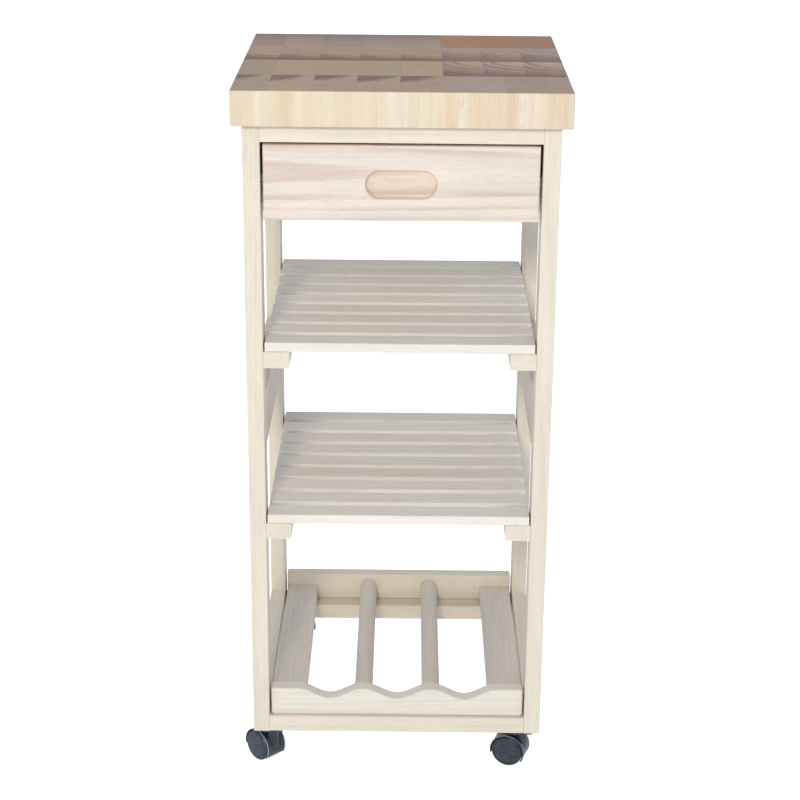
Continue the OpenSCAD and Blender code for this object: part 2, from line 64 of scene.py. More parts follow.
class Tree:
    """Builds one procedural material; every call returns an output socket."""

    def __init__(self, name):
        self.mat = bpy.data.materials.new(name)
        self.mat.use_nodes = True
        self.nt = self.mat.node_tree
        self.nt.nodes.clear()
        out = self.nt.nodes.new("ShaderNodeOutputMaterial")
        self.bsdf = self.nt.nodes.new("ShaderNodeBsdfPrincipled")
        self.nt.links.new(self.bsdf.outputs[0], out.inputs[0])

    def node(self, kind, inputs=(), **props):
        n = self.nt.nodes.new(kind)
        for k, v in props.items():
            setattr(n, k, v)
        for key, value in dict(inputs).items():
            self.put(n.inputs[key], value)
        return n

    def put(self, socket, value):
        if isinstance(value, bpy.types.NodeSocket):
            self.nt.links.new(value, socket)
        elif isinstance(value, (tuple, list)) and len(value) == 3 and socket.type == "RGBA":
            socket.default_value = (*value, 1)
        else:
            socket.default_value = value

    def math(self, op, a, b=0.0, c=0.0, clamp=False):
        return self.node("ShaderNodeMath", {0: a, 1: b, 2: c}, operation=op, use_clamp=clamp).outputs[0]

    def vmath(self, op, a, b=(0, 0, 0), scale=1.0):
        n = self.node("ShaderNodeVectorMath", {0: a, 1: b}, operation=op)
        n.inputs[3].default_value = scale
        return n.outputs[1 if op in ("LENGTH", "DISTANCE", "DOT_PRODUCT") else 0]

    def xyz(self, x=0.0, y=0.0, z=0.0):
        return self.node("ShaderNodeCombineXYZ", {0: x, 1: y, 2: z}).outputs[0]

    def split(self, v):
        return self.node("ShaderNodeSeparateXYZ", {0: v}).outputs

    def noise(self, v, scale=1.0, detail=2.0, rough=0.5, distortion=0.0):
        n = self.node("ShaderNodeTexNoise", {"Vector": v, "Scale": scale, "Detail": detail,
                                             "Roughness": rough, "Distortion": distortion})
        return n.outputs[0]

    def random(self, w):
        n = self.node("ShaderNodeTexWhiteNoise", {"W": w}, noise_dimensions="1D")
        return n.outputs

    def ramp(self, fac, *stops, smooth=False):
        n = self.node("ShaderNodeValToRGB", {0: fac})
        r = n.color_ramp
        r.interpolation = "B_SPLINE" if smooth else "LINEAR"
        while len(r.elements) < len(stops):
            r.elements.new(0.5)
        for e, (pos, value) in zip(r.elements, stops):
            e.position = pos
            e.color = (*value, 1) if isinstance(value, tuple) else (value, value, value, 1)
        return n.outputs[0]

    def step(self, x, lo, hi, a=0.0, b=1.0):
        n = self.node("ShaderNodeMapRange", {0: x, 1: lo, 2: hi, 3: a, 4: b},
                      interpolation_type="SMOOTHSTEP")
        return n.outputs[0]

    def mix(self, fac, a, b, blend="MIX"):
        n = self.node("ShaderNodeMix", {0: fac, 6: a, 7: b}, data_type="RGBA", blend_type=blend)
        return n.outputs[2]

    def grey(self, value):
        return self.node("ShaderNodeCombineColor", {0: value, 1: value, 2: value}).outputs[0]

    def place(self):
        return self.node("ShaderNodeTexCoord").outputs["Object"]

    def attribute(self, name, kind="Vector"):
        return self.node("ShaderNodeAttribute", attribute_name=name).outputs[kind]

    def finish(self, color, rough, height=None, bump=0.0002, **uniform):
        self.put(self.bsdf.inputs["Base Color"], color)
        self.put(self.bsdf.inputs["Roughness"], rough)
        for key, value in uniform.items():
            self.put(self.bsdf.inputs[key.replace("_", " ")], value)
        if height is not None:
            b = self.node("ShaderNodeBump", {"Height": height, "Distance": bump, "Strength": 1.0})
            self.put(self.bsdf.inputs["Normal"], b.outputs[0])
        return self.mat


def stretched(t, grain_xyz, lengthwise, crosswise):
    """Texture coordinates with one scale along the grain and another across it."""
    along, a, b = grain_xyz
    return t.xyz(t.math("MULTIPLY", along, lengthwise), t.math("MULTIPLY", a, crosswise),
                 t.math("MULTIPLY", b, crosswise))


def fibres(t, along, a, b, seed):
    """Fine streaks and short pores that run along the grain: (streaks, pores)."""
    long_v = stretched(t, (along, a, b), 9.0, 330.0)
    streak = t.noise(t.vmath("ADD", long_v, (seed * 3.1, seed * 1.7, seed)), 1.0, 4.0, 0.6)
    pore_v = stretched(t, (along, a, b), 70.0, 1300.0)
    pore = t.noise(t.vmath("ADD", pore_v, (seed, seed * 2.3, seed * 0.7)), 1.0, 1.0, 0.4)
    return streak, t.step(pore, 0.60, 0.70)


# ---- Long-grain wood ----

def wood(name, grain, light, dark, seed=0.0, pith=(0.03, -0.05), slope=(0.03, 0.02), ring=0.007,
         contrast=0.5, tint=None, tint_amount=0.5, strips=None, gloss=0.48, bend=1.0, recess_shade_from=None):
    """Solid wood with growth rings round a slanted pith line, so that faces and ends agree.

    grain is the axis that the grain follows. light and dark are the tones within a ring, and
    ring is its width. pith is where the rings' centre line crosses the origin's plane, and slope
    is how it leans. strips is (axis, start, pitch) where one node holds several slats, each of
    its own board. bend is how much the rings wander. The last argument is the Y behind which
    the colour is made warmer and darker: painted shade in the recess of a board.
    """
    t = Tree(name)
    x, y, z = t.split(t.place())
    along, a, b = {"X": (x, y, z), "Y": (y, x, z), "Z": (z, x, y)}[grain]
    if strips:
        axis, start, pitch = strips
        coord = {"X": x, "Y": y, "Z": z}[axis]
        index = t.math("FLOOR", t.math("DIVIDE", t.math("SUBTRACT", coord, start), pitch))
        tone, colour = t.random(t.math("ADD", index, seed))
        shift = t.split(colour)
        along = t.math("ADD", along, t.math("MULTIPLY", shift[0], 3.0))
        a = t.math("ADD", a, t.math("MULTIPLY", shift[1], 0.15))
        b = t.math("ADD", b, t.math("MULTIPLY", shift[2], 0.06))
    low = stretched(t, (along, a, b), 3.2, 16.0)
    warp = t.noise(t.vmath("ADD", low, (seed, seed, seed)), 1.0, 2.0, 0.5)
    warp = t.math("MULTIPLY_ADD", warp, bend, -0.5 * bend)
    pa = t.math("ADD", t.math("MULTIPLY", along, slope[0]), pith[0] + 0.004 * math.sin(seed * 0.37))
    pb = t.math("ADD", t.math("MULTIPLY", along, slope[1]), pith[1])
    da = t.math("ADD", t.math("SUBTRACT", a, pa), t.math("MULTIPLY", warp, 0.018))
    db = t.math("ADD", t.math("SUBTRACT", b, pb), t.math("MULTIPLY", warp, 0.012))
    radius = t.vmath("LENGTH", t.xyz(da, db, 0.0))
    turns = t.math("DIVIDE", radius, ring)
    phase = t.math("FRACT", t.math("ADD", turns, t.math("MULTIPLY", warp, 0.8)))
    rings = t.ramp(phase, (0.0, 0.1), (0.45, 0.25), (0.86, 1.0), (0.96, 0.55), (1.0, 0.1))
    which = t.math("FLOOR", turns)
    ring_tone = t.random(t.math("ADD", which, seed))[0]
    rings = t.math("MULTIPLY", rings, t.step(ring_tone, 0.1, 0.9, 0.35, 1.0))
    streak, pore = fibres(t, along, a, b, seed)
    patch_v = stretched(t, (along, a, b), 5.0, 38.0)
    patch = t.noise(t.vmath("ADD", patch_v, (0, seed, 2 * seed)), 1.0, 3.0, 0.55)
    color = t.mix(t.math("MULTIPLY", rings, contrast), light, dark)
    if tint:
        color = t.mix(t.math("MULTIPLY", t.step(patch, 0.38, 0.68), tint_amount), color, tint)
    shade = t.step(streak, 0.3, 0.72, 0.96, 1.025)
    shade = t.math("MULTIPLY", shade, t.step(patch, 0.3, 0.7, 0.96, 1.03))
    if strips:
        shade = t.math("MULTIPLY", shade, t.step(tone, 0.0, 1.0, 0.93, 1.05))
    color = t.mix(1.0, color, t.grey(shade), "MULTIPLY")
    color = t.mix(t.math("MULTIPLY", pore, 0.10), color, tuple(c * 0.7 for c in dark))
    # painted shade: behind that Y, inside the recess, the colour is multiplied warmer and darker
    if recess_shade_from:
        recess_shade_mask = t.step(y, recess_shade_from, recess_shade_from + 0.004)
        color = t.mix(recess_shade_mask, color, t.mix(1.0, color, (1.0, 0.955, 0.885), "MULTIPLY"))
    rough = t.step(streak, 0.25, 0.75, gloss - 0.05, gloss + 0.10)
    height = t.math("SUBTRACT", t.math("MULTIPLY", streak, 0.6), t.math("MULTIPLY", pore, 0.9))
    height = t.math("ADD", height, t.math("MULTIPLY", rings, 0.12))
    return t.finish(color, rough, height, 0.00012, IOR=1.46)


# ---- End-grain block ----

def block_material():
    """End grain from per-piece attributes: pith, profile, light and dark, and the piece's own box."""
    t = Tree("end_grain_block")
    place = t.place()
    x, y, z = t.split(place)
    pith = t.split(t.attribute("pith"))
    profile = t.split(t.attribute("profile"))
    light, dark = t.attribute("light", "Color"), t.attribute("dark", "Color")
    low, high = t.split(t.attribute("low")), t.split(t.attribute("high"))
    wob = t.math("SUBTRACT", t.noise(t.vmath("MULTIPLY", place, (42.0, 42.0, 3.0)), 1.0, 2.0), 0.5)
    fine = t.math("SUBTRACT", t.noise(t.vmath("MULTIPLY", place, (210.0, 210.0, 3.0)), 1.0, 2.0), 0.5)
    dx, dy = t.math("SUBTRACT", x, pith[0]), t.math("SUBTRACT", y, pith[1])
    radius = t.vmath("LENGTH", t.xyz(dx, dy, 0.0))
    radius = t.math("ADD", radius, t.math("MULTIPLY", wob, 0.010))
    radius = t.math("ADD", radius, t.math("MULTIPLY", fine, 0.0012))
    heart = t.node("ShaderNodeMapRange", {0: radius, 1: profile[0], 2: profile[1], 3: 1.0, 4: 0.0},
                   interpolation_type="SMOOTHSTEP").outputs[0]
    phase = t.math("FRACT", t.math("DIVIDE", radius, pith[2]))
    rings = t.ramp(phase, (0.0, 0.0), (0.4, 0.2), (0.85, 1.0), (0.95, 0.6), (1.0, 0.0))
    which = t.random(t.math("FLOOR", t.math("DIVIDE", radius, pith[2])))[0]
    rings = t.math("MULTIPLY", rings, t.step(which, 0.1, 0.9, 0.3, 1.0))
    rings = t.math("MULTIPLY", rings, profile[2])
    darkness = t.math("ADD", t.math("MULTIPLY", heart, 0.85), rings, clamp=True)
    color = t.mix(darkness, light, dark)
    # long grain on the sides, open vessels and rays on the top
    streak_v = t.vmath("MULTIPLY", place, (520.0, 520.0, 14.0))
    streak = t.noise(streak_v, 1.0, 4.0, 0.6)
    band = t.noise(t.vmath("MULTIPLY", place, (75.0, 75.0, 4.0)), 1.0, 3.0, 0.6)
    vessel_v = t.vmath("MULTIPLY", place, (900.0, 900.0, 60.0))
    vessel = t.node("ShaderNodeTexVoronoi", {"Vector": vessel_v, "Scale": 1.0}, feature="F1").outputs[0]
    vessel = t.step(vessel, 0.12, 0.26, 1.0, 0.0)
    normal_z = t.split(t.node("ShaderNodeNewGeometry").outputs["True Normal"])[2]
    top = t.step(t.math("ABSOLUTE", normal_z), 0.45, 0.9)
    wave_v = t.xyz(t.math("MULTIPLY", x, 300.0), t.math("MULTIPLY", y, 300.0), t.math("MULTIPLY", z, 55.0))
    wave = t.noise(t.vmath("ADD", wave_v, (3.0, 8.0, 1.0)), 1.0, 2.0, 0.55, 0.8)
    shade = t.step(streak, 0.28, 0.74, 0.955, 1.03)
    shade = t.math("MULTIPLY", shade, t.step(band, 0.3, 0.72, 0.94, 1.04))
    grey = t.grey(shade)
    color = t.mix(1.0, color, grey, "MULTIPLY")
    pink = t.attribute("side", "Fac")
    broad = t.noise(t.vmath("MULTIPLY", place, (33.0, 33.0, 1.2)), 1.0, 3.0, 0.55, 0.3)
    line = t.noise(t.vmath("MULTIPLY", place, (120.0, 120.0, 2.0)), 1.0, 2.0, 0.5)
    side_color = t.mix(pink, (0.89, 0.775, 0.56), (0.87, 0.67, 0.48))
    side_color = t.mix(t.step(broad, 0.50, 0.66, 0.0, 0.70), side_color, (0.93, 0.86, 0.71))
    side_color = t.mix(t.step(broad, 0.47, 0.34, 0.0, 0.40), side_color, (0.80, 0.60, 0.38))
    side_color = t.mix(t.step(line, 0.62, 0.72, 0.0, 0.35), side_color, (0.86, 0.58, 0.43))
    figure = t.math("MULTIPLY", t.step(wave, 0.50, 0.72), t.math("MULTIPLY_ADD", pink, 0.34, 0.05))
    side_color = t.mix(figure, side_color, (0.76, 0.48, 0.35))
    side_color = t.mix(1.0, side_color, grey, "MULTIPLY")
    color = t.mix(top, side_color, color)
    color = t.mix(t.math("MULTIPLY", vessel, t.math("MULTIPLY", top, 0.30)), color, (0.16, 0.09, 0.05))
    # glue lines
    near_x = t.math("MINIMUM", t.math("SUBTRACT", x, low[0]), t.math("SUBTRACT", high[0], x))
    near_y = t.math("MINIMUM", t.math("SUBTRACT", y, low[1]), t.math("SUBTRACT", high[1], y))
    near = t.math("MINIMUM", near_x, near_y)
    seam = t.step(near, 0.00012, 0.00055, 1.0, 0.0)
    color = t.mix(t.math("MULTIPLY", seam, 0.26), color, (0.26, 0.16, 0.09))
    rough = t.step(streak, 0.25, 0.75, 0.42, 0.56)
    height = t.math("SUBTRACT", t.math("MULTIPLY", streak, 0.4), t.math("MULTIPLY", vessel, 0.4))
    height = t.math("SUBTRACT", height, t.math("MULTIPLY", seam, 0.8))
    return t.finish(color, rough, height, 0.00014, IOR=1.46)


# ---- Plastic and metal ----

def plastic(name, base, seed, axle=None, rim=0.0):
    """Moulded plastic. axle is (centre, direction, reach); past that reach and the radius rim
    the edge carries a painted highlight, a light line as if the lip caught the light."""
    t = Tree(name)
    spot = t.place()
    place = t.vmath("ADD", spot, (seed, seed, 0))
    cloud = t.noise(place, 130.0, 4.0, 0.65)
    fine = t.noise(place, 1500.0, 2.0, 0.5)
    scuff = t.noise(t.vmath("MULTIPLY", place, (240.0, 240.0, 700.0)), 1.0, 5.0, 0.65)
    scuff = t.step(scuff, 0.60, 0.74)
    color = t.mix(t.step(cloud, 0.38, 0.68), base, tuple(c * 2.3 + 0.004 for c in base))
    color = t.mix(t.math("MULTIPLY", scuff, 0.20), color, (0.13, 0.15, 0.18))
    rough = t.math("ADD", t.step(cloud, 0.3, 0.7, 0.24, 0.42), t.math("MULTIPLY", scuff, 0.18))
    if axle:
        centre, way, reach = axle
        arm = t.vmath("SUBTRACT", spot, tuple(centre))
        radius = t.vmath("LENGTH", t.vmath("CROSS_PRODUCT", arm, tuple(way)))
        # painted highlight: a light blue-grey line along each lip's crest, where the light would glint
        lip_highlight = t.step(radius, rim - 0.00045, rim - 0.00015)
        along = t.math("ABSOLUTE", t.vmath("DOT_PRODUCT", arm, tuple(way)))
        lip_highlight = t.math("MULTIPLY", lip_highlight, t.step(along, reach, reach + 0.0004))
        color = t.mix(t.math("MULTIPLY", lip_highlight, 0.9), color, (0.26, 0.34, 0.45))
    height = t.math("ADD", t.math("MULTIPLY", fine, 0.35), t.math("MULTIPLY", scuff, 0.25))
    return t.finish(color, rough, height, 0.00008, IOR=1.5)


def steel(name, base, seed):
    t = Tree(name)
    place = t.vmath("ADD", t.place(), (seed, 0, seed))
    cloud = t.noise(place, 90.0, 4.0, 0.6)
    lines = t.noise(t.vmath("MULTIPLY", place, (1400.0, 120.0, 1400.0)), 1.0, 3.0, 0.6)
    color = t.mix(t.step(cloud, 0.3, 0.7), base, tuple(c * 0.72 for c in base))
    rough = t.step(lines, 0.3, 0.7, 0.26, 0.44)
    return t.finish(color, rough, lines, 0.00003, Metallic=1.0)


# ---- Materials of the CAD pieces ----

# seen colours of the bleached pine, from the light wood to its late rings
CREAM, CREAM_DARK = (0.755, 0.68, 0.55), (0.63, 0.51, 0.37)
SHELF, SHELF_DARK = (0.84, 0.795, 0.715), (0.67, 0.58, 0.49)
PINK = (0.75, 0.625, 0.515)
DRAWER, DRAWER_DARK = (0.76, 0.685, 0.595), (0.58, 0.43, 0.335)
RACK = (0.765, 0.71, 0.61)
HOOD, WHEEL = (0.009, 0.013, 0.020), (0.011, 0.016, 0.025)
ZINC, AXLE_STEEL, PLATE_STEEL = (0.62, 0.62, 0.60), (0.60, 0.60, 0.60), (0.10, 0.10, 0.11)
SLATS, SLAT_WIDTH = 9, 32.6 * MM
# a hood's lip, which carries a painted highlight: how far past a wheel's middle it starts, and how far it
# stands past the wheel's rim
LIP_START, LIP_GROWTH = 1.4 * MM, 2.7 * MM


def dress(name, mat):
    for s in nodes[name].material_slots:
        s.material = mat


def slat_rule(node):
    """(axis, start, pitch) of a shelf's slats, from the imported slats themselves."""
    low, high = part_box(node)
    pitch = (high.y - low.y - SLAT_WIDTH) / (SLATS - 1)
    return "Y", low.y - (pitch - SLAT_WIDTH) / 2, pitch


# name, and where the pith lies from the middle of the leg
LEGS = [
    ("leg_front_left", 0.05, -0.03), ("leg_front_right", -0.035, 0.05),
    ("leg_rear_left", 0.04, 0.03), ("leg_rear_right", -0.03, -0.06),
]
for n, (name, off_x, off_y) in enumerate(LEGS):
    low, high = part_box(name)
    middle = (low + high) / 2
    dress(name, wood(name + "_wood", "Z", CREAM, CREAM_DARK, seed=3.0 + 5.3 * n,
                     pith=(middle.x + off_x, middle.y + off_y), slope=(0.02 - 0.01 * n, 0.03),
                     ring=0.006 + 0.001 * n, contrast=0.35, tint=PINK, tint_amount=0.15))

# name, grain axis, distance of the pith, ring contrast, share of pink
BOARDS = [
    ("top_front_rail", "X", 0.030, 0.30, 0.10), ("top_rear_rail", "X", 0.05, 0.40, 0.25),
    ("top_side_rail_left", "Y", 0.05, 0.40, 0.2), ("top_side_rail_right", "Y", 0.05, 0.40, 0.3),
    ("middle_side_rail_left", "Y", 0.04, 0.35, 0.15), ("middle_side_rail_right", "Y", 0.04, 0.35, 0.2),
    ("bottom_side_rail_left", "Y", 0.04, 0.35, 0.15), ("bottom_side_rail_right", "Y", 0.04, 0.35, 0.2),
    ("bottom_front_rail", "X", 0.06, 0.35, 0.55), ("bottom_rear_rail", "X", 0.05, 0.40, 0.40),
    ("block_cleat_left", "Y", 0.04, 0.35, 0.2), ("block_cleat_right", "Y", 0.04, 0.35, 0.2),
    ("drawer_runner_left", "Y", 0.04, 0.30, 0.1), ("drawer_runner_right", "Y", 0.04, 0.30, 0.1),
    ("upper_shelf_cleat_left", "Y", 0.04, 0.35, 0.2), ("upper_shelf_cleat_right", "Y", 0.03, 0.35, 0.2),
    ("lower_shelf_cleat_left", "Y", 0.05, 0.35, 0.3), ("lower_shelf_cleat_right", "Y", 0.03, 0.35, 0.2),
    ("rack_back_board", "X", 0.04, 0.35, 0.35), ("rack_rod_left", "Y", 0.02, 0.30, 0.2),
    ("rack_rod_right", "Y", 0.02, 0.30, 0.2), ("rack_slat_left", "Y", 0.04, 0.35, 0.3),
    ("rack_slat_right", "Y", 0.04, 0.35, 0.3), ("drawer_side_left", "Y", 0.05, 0.35, 0.2),
    ("drawer_side_right", "Y", 0.05, 0.35, 0.2), ("drawer_back", "X", 0.05, 0.35, 0.2),
    ("drawer_bottom", "X", 0.09, 0.45, 0.3),
]
# how much darker the boards in the shade of others look
DULL = {"bottom_rear_rail": 0.86, "rack_rod_left": 0.86, "rack_rod_right": 0.86, "rack_slat_left": 0.88,
        "rack_slat_right": 0.86, "middle_side_rail_left": 0.92, "middle_side_rail_right": 0.90}
for n, (name, grain, off, contrast, pinkness) in enumerate(BOARDS):
    low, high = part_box(name)
    middle = (low + high) / 2
    across = {"X": (middle.y, middle.z), "Y": (middle.x, middle.z)}[grain]
    pith = (across[0] + off * math.cos(2.4 * n), across[1] + off * math.sin(2.4 * n + 0.6))
    dull = DULL.get(name, 1.0)
    cool = 1.0 + 0.3 * (1.0 - dull)
    light = (CREAM[0] * dull, CREAM[1] * dull, CREAM[2] * dull * cool)
    dark = (CREAM_DARK[0] * dull, CREAM_DARK[1] * dull, CREAM_DARK[2] * dull * cool)
    dress(name, wood(name + "_wood", grain, light, dark, seed=11.0 + 4.7 * n, pith=pith,
                     slope=(0.03 * math.sin(1.7 * n), 0.03 * math.cos(1.3 * n)),
                     ring=0.005 + 0.001 * (n % 4), contrast=contrast, tint=PINK, tint_amount=pinkness))

for n, name in enumerate(["upper_shelf_slats", "lower_shelf_slats"]):
    dress(name, wood(name + "_wood", "X", SHELF, SHELF_DARK, seed=21.0 + 9.0 * n,
                     pith=(0.02, -0.03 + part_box(name)[0].z), slope=(0.03, 0.02), ring=0.008,
                     contrast=0.45, tint=PINK, tint_amount=0.45, strips=slat_rule(name)))

for name in ("frame_bolts", "wood_screws", "caster_screws"):
    dress(name, steel(name + "_zinc", ZINC, len(name) * 0.1))
for n, corner in enumerate(["front_left", "front_right", "rear_left", "rear_right"]):
    dress("plate_" + corner, steel("plate_%s_zinc" % corner, PLATE_STEEL, n * 0.3))
    dress("axle_" + corner, steel("axle_%s_steel" % corner, AXLE_STEEL, n * 0.2))
    sides = [sum(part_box("%s_wheel_%s" % (side, corner)), Vector()) / 2 for side in ("near", "far")]
    span = sides[1] - sides[0]
    # where each hood's painted lip highlight goes
    axle = ((sides[0] + sides[1]) / 2, span.normalized(), span.length / 2 + LIP_START)
    lip_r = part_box("near_wheel_" + corner)[1].z / 2 + LIP_GROWTH
    dress("hood_" + corner, plastic("hood_%s_plastic" % corner, HOOD, n * 0.7, axle, lip_r))
    for side in ("near", "far"):
        name = "%s_wheel_%s" % (side, corner)
        dress(name, plastic(name + "_plastic", WHEEL, n * 0.7 + 0.2))


# ---- Worktop block, from its CAD solid, cut along the glue lines ----

def copied(node, name):
    """A copy of a CAD node and its mesh, as a new piece."""
    piece = nodes[node].copy()
    piece.data = nodes[node].data.copy()
    piece.name = name
    for key in list(piece.keys()):
        del piece[key]
    piece.parent = None
    bpy.context.scene.collection.objects.link(piece)
    return piece


def cut(bm, point, normal):
    """Cuts every face of bm along a plane."""
    bmesh.ops.bisect_plane(bm, geom=bm.verts[:] + bm.edges[:] + bm.faces[:], plane_co=point,
                           plane_no=normal)


# rows of the block, front to back: ring centre in the piece, ring width, dark from, dark to, ring
# strength, light tone, dark tone
LEFT_ROWS = [
    ((-0.010, 0.118), 0.0060, 0.044, 0.064, 0.34, (0.52, 0.345, 0.21), (0.23, 0.105, 0.055)),
    ((0.090, 0.150), 0.0060, 0.000, 0.001, 0.30, (0.52, 0.345, 0.18), (0.33, 0.19, 0.085)),
    ((0.075, 0.190), 0.0085, 0.188, 0.150, 0.50, (0.56, 0.36, 0.19), (0.23, 0.095, 0.04)),
    ((0.020, -0.120), 0.0110, 0.235, 0.150, 0.40, (0.47, 0.315, 0.20), (0.29, 0.15, 0.08)),
]
RIGHT_ROWS = [
    ((0.080, 0.170), 0.0110, 0.000, 0.001, 0.45, (0.50, 0.335, 0.235), (0.29, 0.15, 0.09)),
    ((0.058, 0.112), 0.0190, 0.120, 0.030, 0.55, (0.60, 0.40, 0.255), (0.24, 0.105, 0.045)),
    ((0.060, 0.125), 0.0150, 0.130, 0.045, 0.45, (0.57, 0.375, 0.235), (0.27, 0.125, 0.06)),
    ((0.020, -0.080), 0.0085, 0.000, 0.001, 0.50, (0.47, 0.205, 0.065), (0.25, 0.10, 0.03)),
]
ROWS = len(LEFT_ROWS)
PIECE_WIDTH = 52.3 * MM    # of the glued pieces left of the join
JOIN_SHARE = 0.623         # where the two halves meet, as a share of the block's width
FIRST_RIGHT = 21 * MM      # width of the front row's first piece right of the join


def make_block():
    """The worktop, with its glued pieces' rings and tones as face attributes."""
    low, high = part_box("butcher_block")
    left, front = low.x, low.y
    pitch = PIECE_WIDTH
    join = left + JOIN_SHARE * (high.x - low.x)
    row = (high.y - low.y) / ROWS
    left_lines = [join - k * pitch for k in range(5)]
    right_lines = [join + FIRST_RIGHT + k * pitch for k in range(3)]
    xs_left = sorted([left] + left_lines)
    back_lines = [join + k * (high.x - join) / 3 for k in (1, 2)]
    piece = copied("butcher_block", "worktop_block")
    bm = bmesh.new()
    bm.from_mesh(piece.data)
    bmesh.ops.remove_doubles(bm, verts=bm.verts, dist=1e-6)
    bmesh.ops.dissolve_limit(bm, angle_limit=0.01, verts=bm.verts, edges=bm.edges)
    for x in sorted(set(left_lines + right_lines + back_lines)):
        cut(bm, (x, 0, 0), (1, 0, 0))
    for k in range(1, ROWS):
        cut(bm, (0, front + k * row, 0), (0, 1, 0))
    layer = {k: bm.faces.layers.float_vector.new(k) for k in ("pith", "profile", "low", "high")}
    tone = {k: bm.faces.layers.float_color.new(k) for k in ("light", "dark")}
    side = bm.faces.layers.float.new("side")
    jitter = random.Random(23)
    seen = {}

    def facts(cx, cy):
        """The attributes of the glued piece round a point, drawn once for each piece."""
        r = min(ROWS - 1, max(0, int((cy - front) / row)))
        xs = xs_left if cx < join else [join] + (back_lines if r else right_lines) + [high.x]
        c = max(0, min(len(xs) - 2, sum(cx > v for v in xs[1:-1])))
        key = (cx < join, c, r)
        if key not in seen:
            (px, py), ring, d0, d1, strength, light, dark = (LEFT_ROWS if cx < join else RIGHT_ROWS)[r]
            x_hi = xs[c + 1]
            x_ref = xs[c] if (c > 0 or cx >= join) else x_hi - pitch
            if cx >= join and c == 0:
                x_ref = x_hi - pitch
            g = jitter.uniform(0.93, 1.06)
            w = jitter.uniform(-0.015, 0.015)
            seen[key] = dict(
                pith=(x_ref + px + jitter.uniform(-0.004, 0.004),
                      front + r * row + py + jitter.uniform(-0.004, 0.004),
                      ring * jitter.uniform(0.9, 1.1)),
                profile=(d0, d1, strength * jitter.uniform(0.75, 1.15)),
                low=(xs[c], front + r * row, 0), high=(x_hi, front + (r + 1) * row, 0),
                light=(light[0] * g + w, light[1] * g, light[2] * g - w, 1),
                dark=(dark[0] * g, dark[1] * g, dark[2] * g, 1),
                side=min(1.0, max(0.0, (0.15 if cx < join else 0.80) + jitter.uniform(-0.15, 0.2))))
        return seen[key]

    margin = 1e-4
    for f in bm.faces:
        c = f.calc_center_median()
        v = facts(min(max(c.x, low.x + margin), high.x - margin),
                  min(max(c.y, low.y + margin), high.y - margin))
        for k, lay in layer.items():
            f[lay] = Vector(v[k])
        for k, lay in tone.items():
            f[lay] = v[k]
        f[side] = v["side"]
    bm.to_mesh(piece.data)
    bm.free()
    piece.data.materials.clear()
    piece.data.materials.append(block_material())
    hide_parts("butcher_block")
    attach(piece, "frame")


make_block()


# ---- Drawer front with a routed, softened finger recess ----

def new_piece(name, bm, mat, body, replaced):
    """A smooth piece from bm, on a body, in place of one CAD node."""
    bmesh.ops.recalc_face_normals(bm, faces=bm.faces[:])
    mesh = bpy.data.meshes.new(name)
    bm.to_mesh(mesh)
    bm.free()
    for p in mesh.polygons:
        p.use_smooth = True
    piece = bpy.data.objects.new(name, mesh)
    bpy.context.scene.collection.objects.link(piece)
    mesh.materials.append(mat)
    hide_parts(replaced)
    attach(piece, body)


def loop_bridge(bm, rings):
    """Joins each closed ring of vertices to the next with faces."""
    for a, b in zip(rings, rings[1:]):
        for i in range(len(a)):
            j = (i + 1) % len(a)
            bm.faces.new((a[i], a[j], b[j], b[i]))


